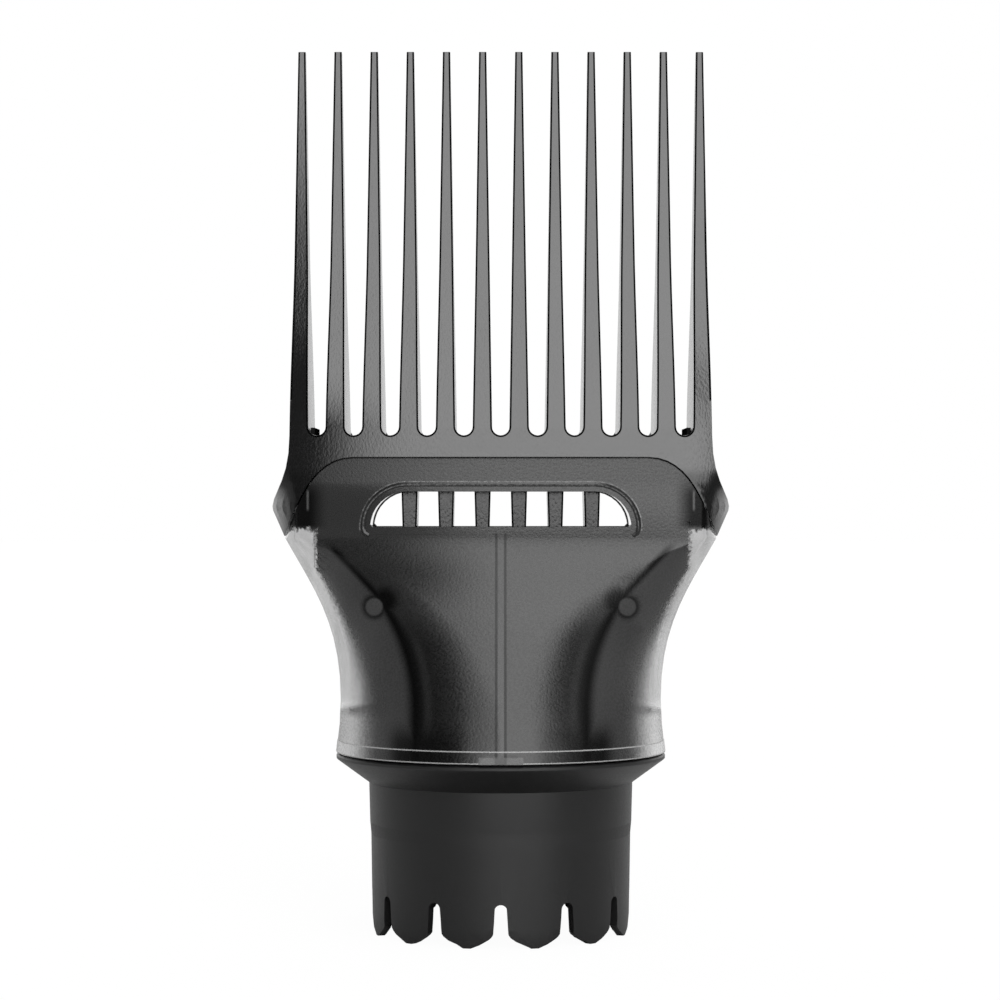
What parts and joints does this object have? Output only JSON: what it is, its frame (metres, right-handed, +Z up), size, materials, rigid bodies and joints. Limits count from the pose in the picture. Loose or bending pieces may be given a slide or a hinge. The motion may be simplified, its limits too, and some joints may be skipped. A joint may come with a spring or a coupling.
{
  "type": "hair dryer comb attachment",
  "caption": "Hair dryer pik attachment: a wide comb of long tapered teeth on a smoky two-shell air duct with a scalloped rubber collar that grips the dryer's barrel.",
  "frame": {"origin": "centre of the collar's bore, at the height of the finger tips that the part stands on", "axes": "+Z up along the bore to the teeth, +X to the right along the row of teeth as seen from the front, front towards -Y"},
  "size_m": [0.0966, 0.0699, 0.1858],
  "materials": {
    "comb_plastic": "satin dark grey, lightly translucent at thin edges",
    "smoke_plastic": "smoky translucent, finely frosted",
    "ring_plastic": "plain black, semi-matt",
    "collar_rubber": "black matt elastomer"
  },
  "bodies": {
    "root": {"comb": "comb_plastic", "front_shell": "smoke_plastic", "rear_shell": "smoke_plastic", "inner_ring": "ring_plastic", "collar": "collar_rubber"}
  },
  "joints": []
}
